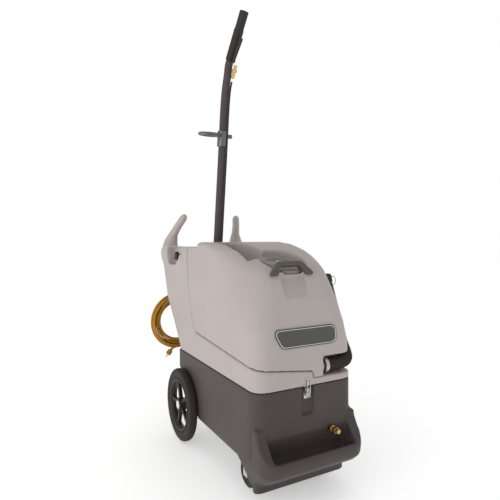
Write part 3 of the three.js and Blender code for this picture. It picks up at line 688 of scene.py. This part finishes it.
class EXTRACTOR_OT_wand(bpy.types.Operator):
    """Sweeps the wand tube and turns its ribbed grip"""

    bl_idname = "extractor.wand"
    bl_label = "Wand"

    def execute(self, context):
        def straight(z):
            return (0, 118 - (z - 855) * 0.1246, z)

        def grip(d):
            return (0, -23.5 - 0.644 * d, 1692 + 0.765 * d)

        route = [
            straight(536), straight(700), straight(855), straight(1080), straight(1297), (0, 55, 1369),
            (0, 42, 1482), (0, 25, 1570), (0, 1, 1640), grip(-22), grip(-1.5),
        ]
        curve_piece(
            "wand_tube_skin", [at(*p) for p in route], 0.018, "dark_shell", "wand_tube", resolution=10)
        start = at(*grip(0))
        aim = (at(*grip(200)) - start).normalized()
        place = Matrix.Translation(start) @ aim.to_track_quat("Z", "Y").to_matrix().to_4x4()
        profile = [(15.2, 214.0), (15.2, 10.5), (0.6, 10.4), (0.6, 0.4), (20.6, 0.4), (21.9, 2)]
        height = 8.0
        while height < 128:
            profile.extend([(21.9, height), (21.0, height + 0.8), (21.0, height + 2.4), (21.9, height + 3.2)])
            height += 8.0
        profile.extend([(21.9, 136), (20.6, 138), (19.7, 140), (19.7, 211), (18.6, 213.9)])
        handle = closed_turned("wand_grip_skin", profile, place, 72)
        smooth(handle.data)
        stand_for(handle, "black_plastic", "wand_grip")
        return {"FINISHED"}


class EXTRACTOR_OT_finishes(bpy.types.Operator):
    """Gives the CAD parts that still show their materials"""

    bl_idname = "extractor.finishes"
    bl_label = "Finishes"

    def execute(self, context):
        for name, node in NODES.items():
            if node.hide_render:
                continue
            if not node.material_slots:
                raise RuntimeError(f"{name} has no material slot")
            for place in node.material_slots:
                place.material = MATERIALS[SLOTS[name]]
        return {"FINISHED"}


class EXTRACTOR_OT_stage(bpy.types.Operator):
    """Builds the pale floor and its soft light"""

    bl_idname = "extractor.stage"
    bl_label = "Stage"

    def surround(self, strength):
        """A world that looks white and lights the machine at the given strength."""
        world = bpy.data.worlds.new("Surround")
        world.use_nodes = True
        tree = world.node_tree
        background = tree.nodes["Background"]
        background.label = "White surround"
        ray = new_node(tree, "ShaderNodeLightPath", "Kind of ray", -500, 0)
        level = new_node(tree, "ShaderNodeMapRange", "Light or backdrop", -250, 0)
        level.inputs["To Min"].default_value = strength
        level.inputs["To Max"].default_value = 1.0
        background.inputs["Color"].default_value = (1, 1, 1, 1)
        tree.links.new(ray.outputs["Is Camera Ray"], level.inputs["Value"])
        tree.links.new(level.outputs["Result"], background.inputs["Strength"])
        return world

    def execute(self, context):
        settings = context.scene.extractor_stage
        material, tree, shader, coordinates = start_material("Pale floor")
        two_tone(tree, coordinates, shader, (0.92, 0.92, 0.92), 0.01, 0.6)
        shader.inputs["Roughness"].default_value = 0.6
        shader.inputs["Emission Color"].default_value = (1, 1, 1, 1)
        shader.inputs["Emission Strength"].default_value = settings.floor_glow
        solid = bmesh.new()
        bmesh.ops.create_grid(solid, x_segments=2, y_segments=2, size=14)
        mesh = bpy.data.meshes.new("floor")
        solid.to_mesh(mesh)
        solid.free()
        floor = new_object("floor", mesh)
        floor.location.z = -0.0005
        floor.data.materials.append(material)
        context.scene.world = self.surround(settings.sky)
        context.scene.view_settings.view_transform = "Standard"
        data = bpy.data.lights.new("Key", "AREA")
        data.energy = settings.key_power
        data.size = 2.2
        key = bpy.data.objects.new("Key", data)
        key.location = (-3.5, -0.7, 0.8)
        key.rotation_euler = (Vector((0, 0, 0.7)) - key.location).to_track_quat("-Z", "Y").to_euler()
        context.scene.collection.objects.link(key)
        return {"FINISHED"}


# ---- Panel and registration ----

STEPS = (
    EXTRACTOR_OT_camera, EXTRACTOR_OT_cord, EXTRACTOR_OT_shells, EXTRACTOR_OT_fittings, EXTRACTOR_OT_wheels,
    EXTRACTOR_OT_hose, EXTRACTOR_OT_lid, EXTRACTOR_OT_badge, EXTRACTOR_OT_wand, EXTRACTOR_OT_finishes,
    EXTRACTOR_OT_stage,
)
GROUPS = (
    ("extractor_shells", ShellSettings), ("extractor_cord", CordSettings), ("extractor_hose", HoseSettings),
    ("extractor_stage", StageSettings),
)


class EXTRACTOR_PT_panel(bpy.types.Panel):
    """The sidebar panel"""

    bl_idname = "EXTRACTOR_PT_panel"
    bl_label = "Spot extractor"
    bl_space_type = "VIEW_3D"
    bl_region_type = "UI"
    bl_category = "Extractor"

    def draw(self, context):
        for step in STEPS:
            self.layout.operator(step.bl_idname)


def register():
    """Registers the settings, operators and panel."""
    for name, group in GROUPS:
        bpy.utils.register_class(group)
        setattr(bpy.types.Scene, name, bpy.props.PointerProperty(type=group))
    for step in STEPS:
        bpy.utils.register_class(step)
    bpy.utils.register_class(EXTRACTOR_PT_panel)


def unregister():
    """Removes what register() added."""
    bpy.utils.unregister_class(EXTRACTOR_PT_panel)
    for step in reversed(STEPS):
        bpy.utils.unregister_class(step)
    for name, group in reversed(GROUPS):
        delattr(bpy.types.Scene, name)
        bpy.utils.unregister_class(group)


def main():
    """Builds everything in order."""
    register()
    MATERIALS.update(make_materials())
    bpy.ops.extractor.camera()
    bpy.ops.extractor.cord()
    bpy.ops.extractor.shells()
    bpy.ops.extractor.fittings()
    bpy.ops.extractor.wheels()
    bpy.ops.extractor.hose()
    bpy.ops.extractor.lid()
    bpy.ops.extractor.badge()
    bpy.ops.extractor.wand()
    bpy.ops.extractor.finishes()
    bpy.ops.extractor.stage()


if __name__ == "__main__":
    main()
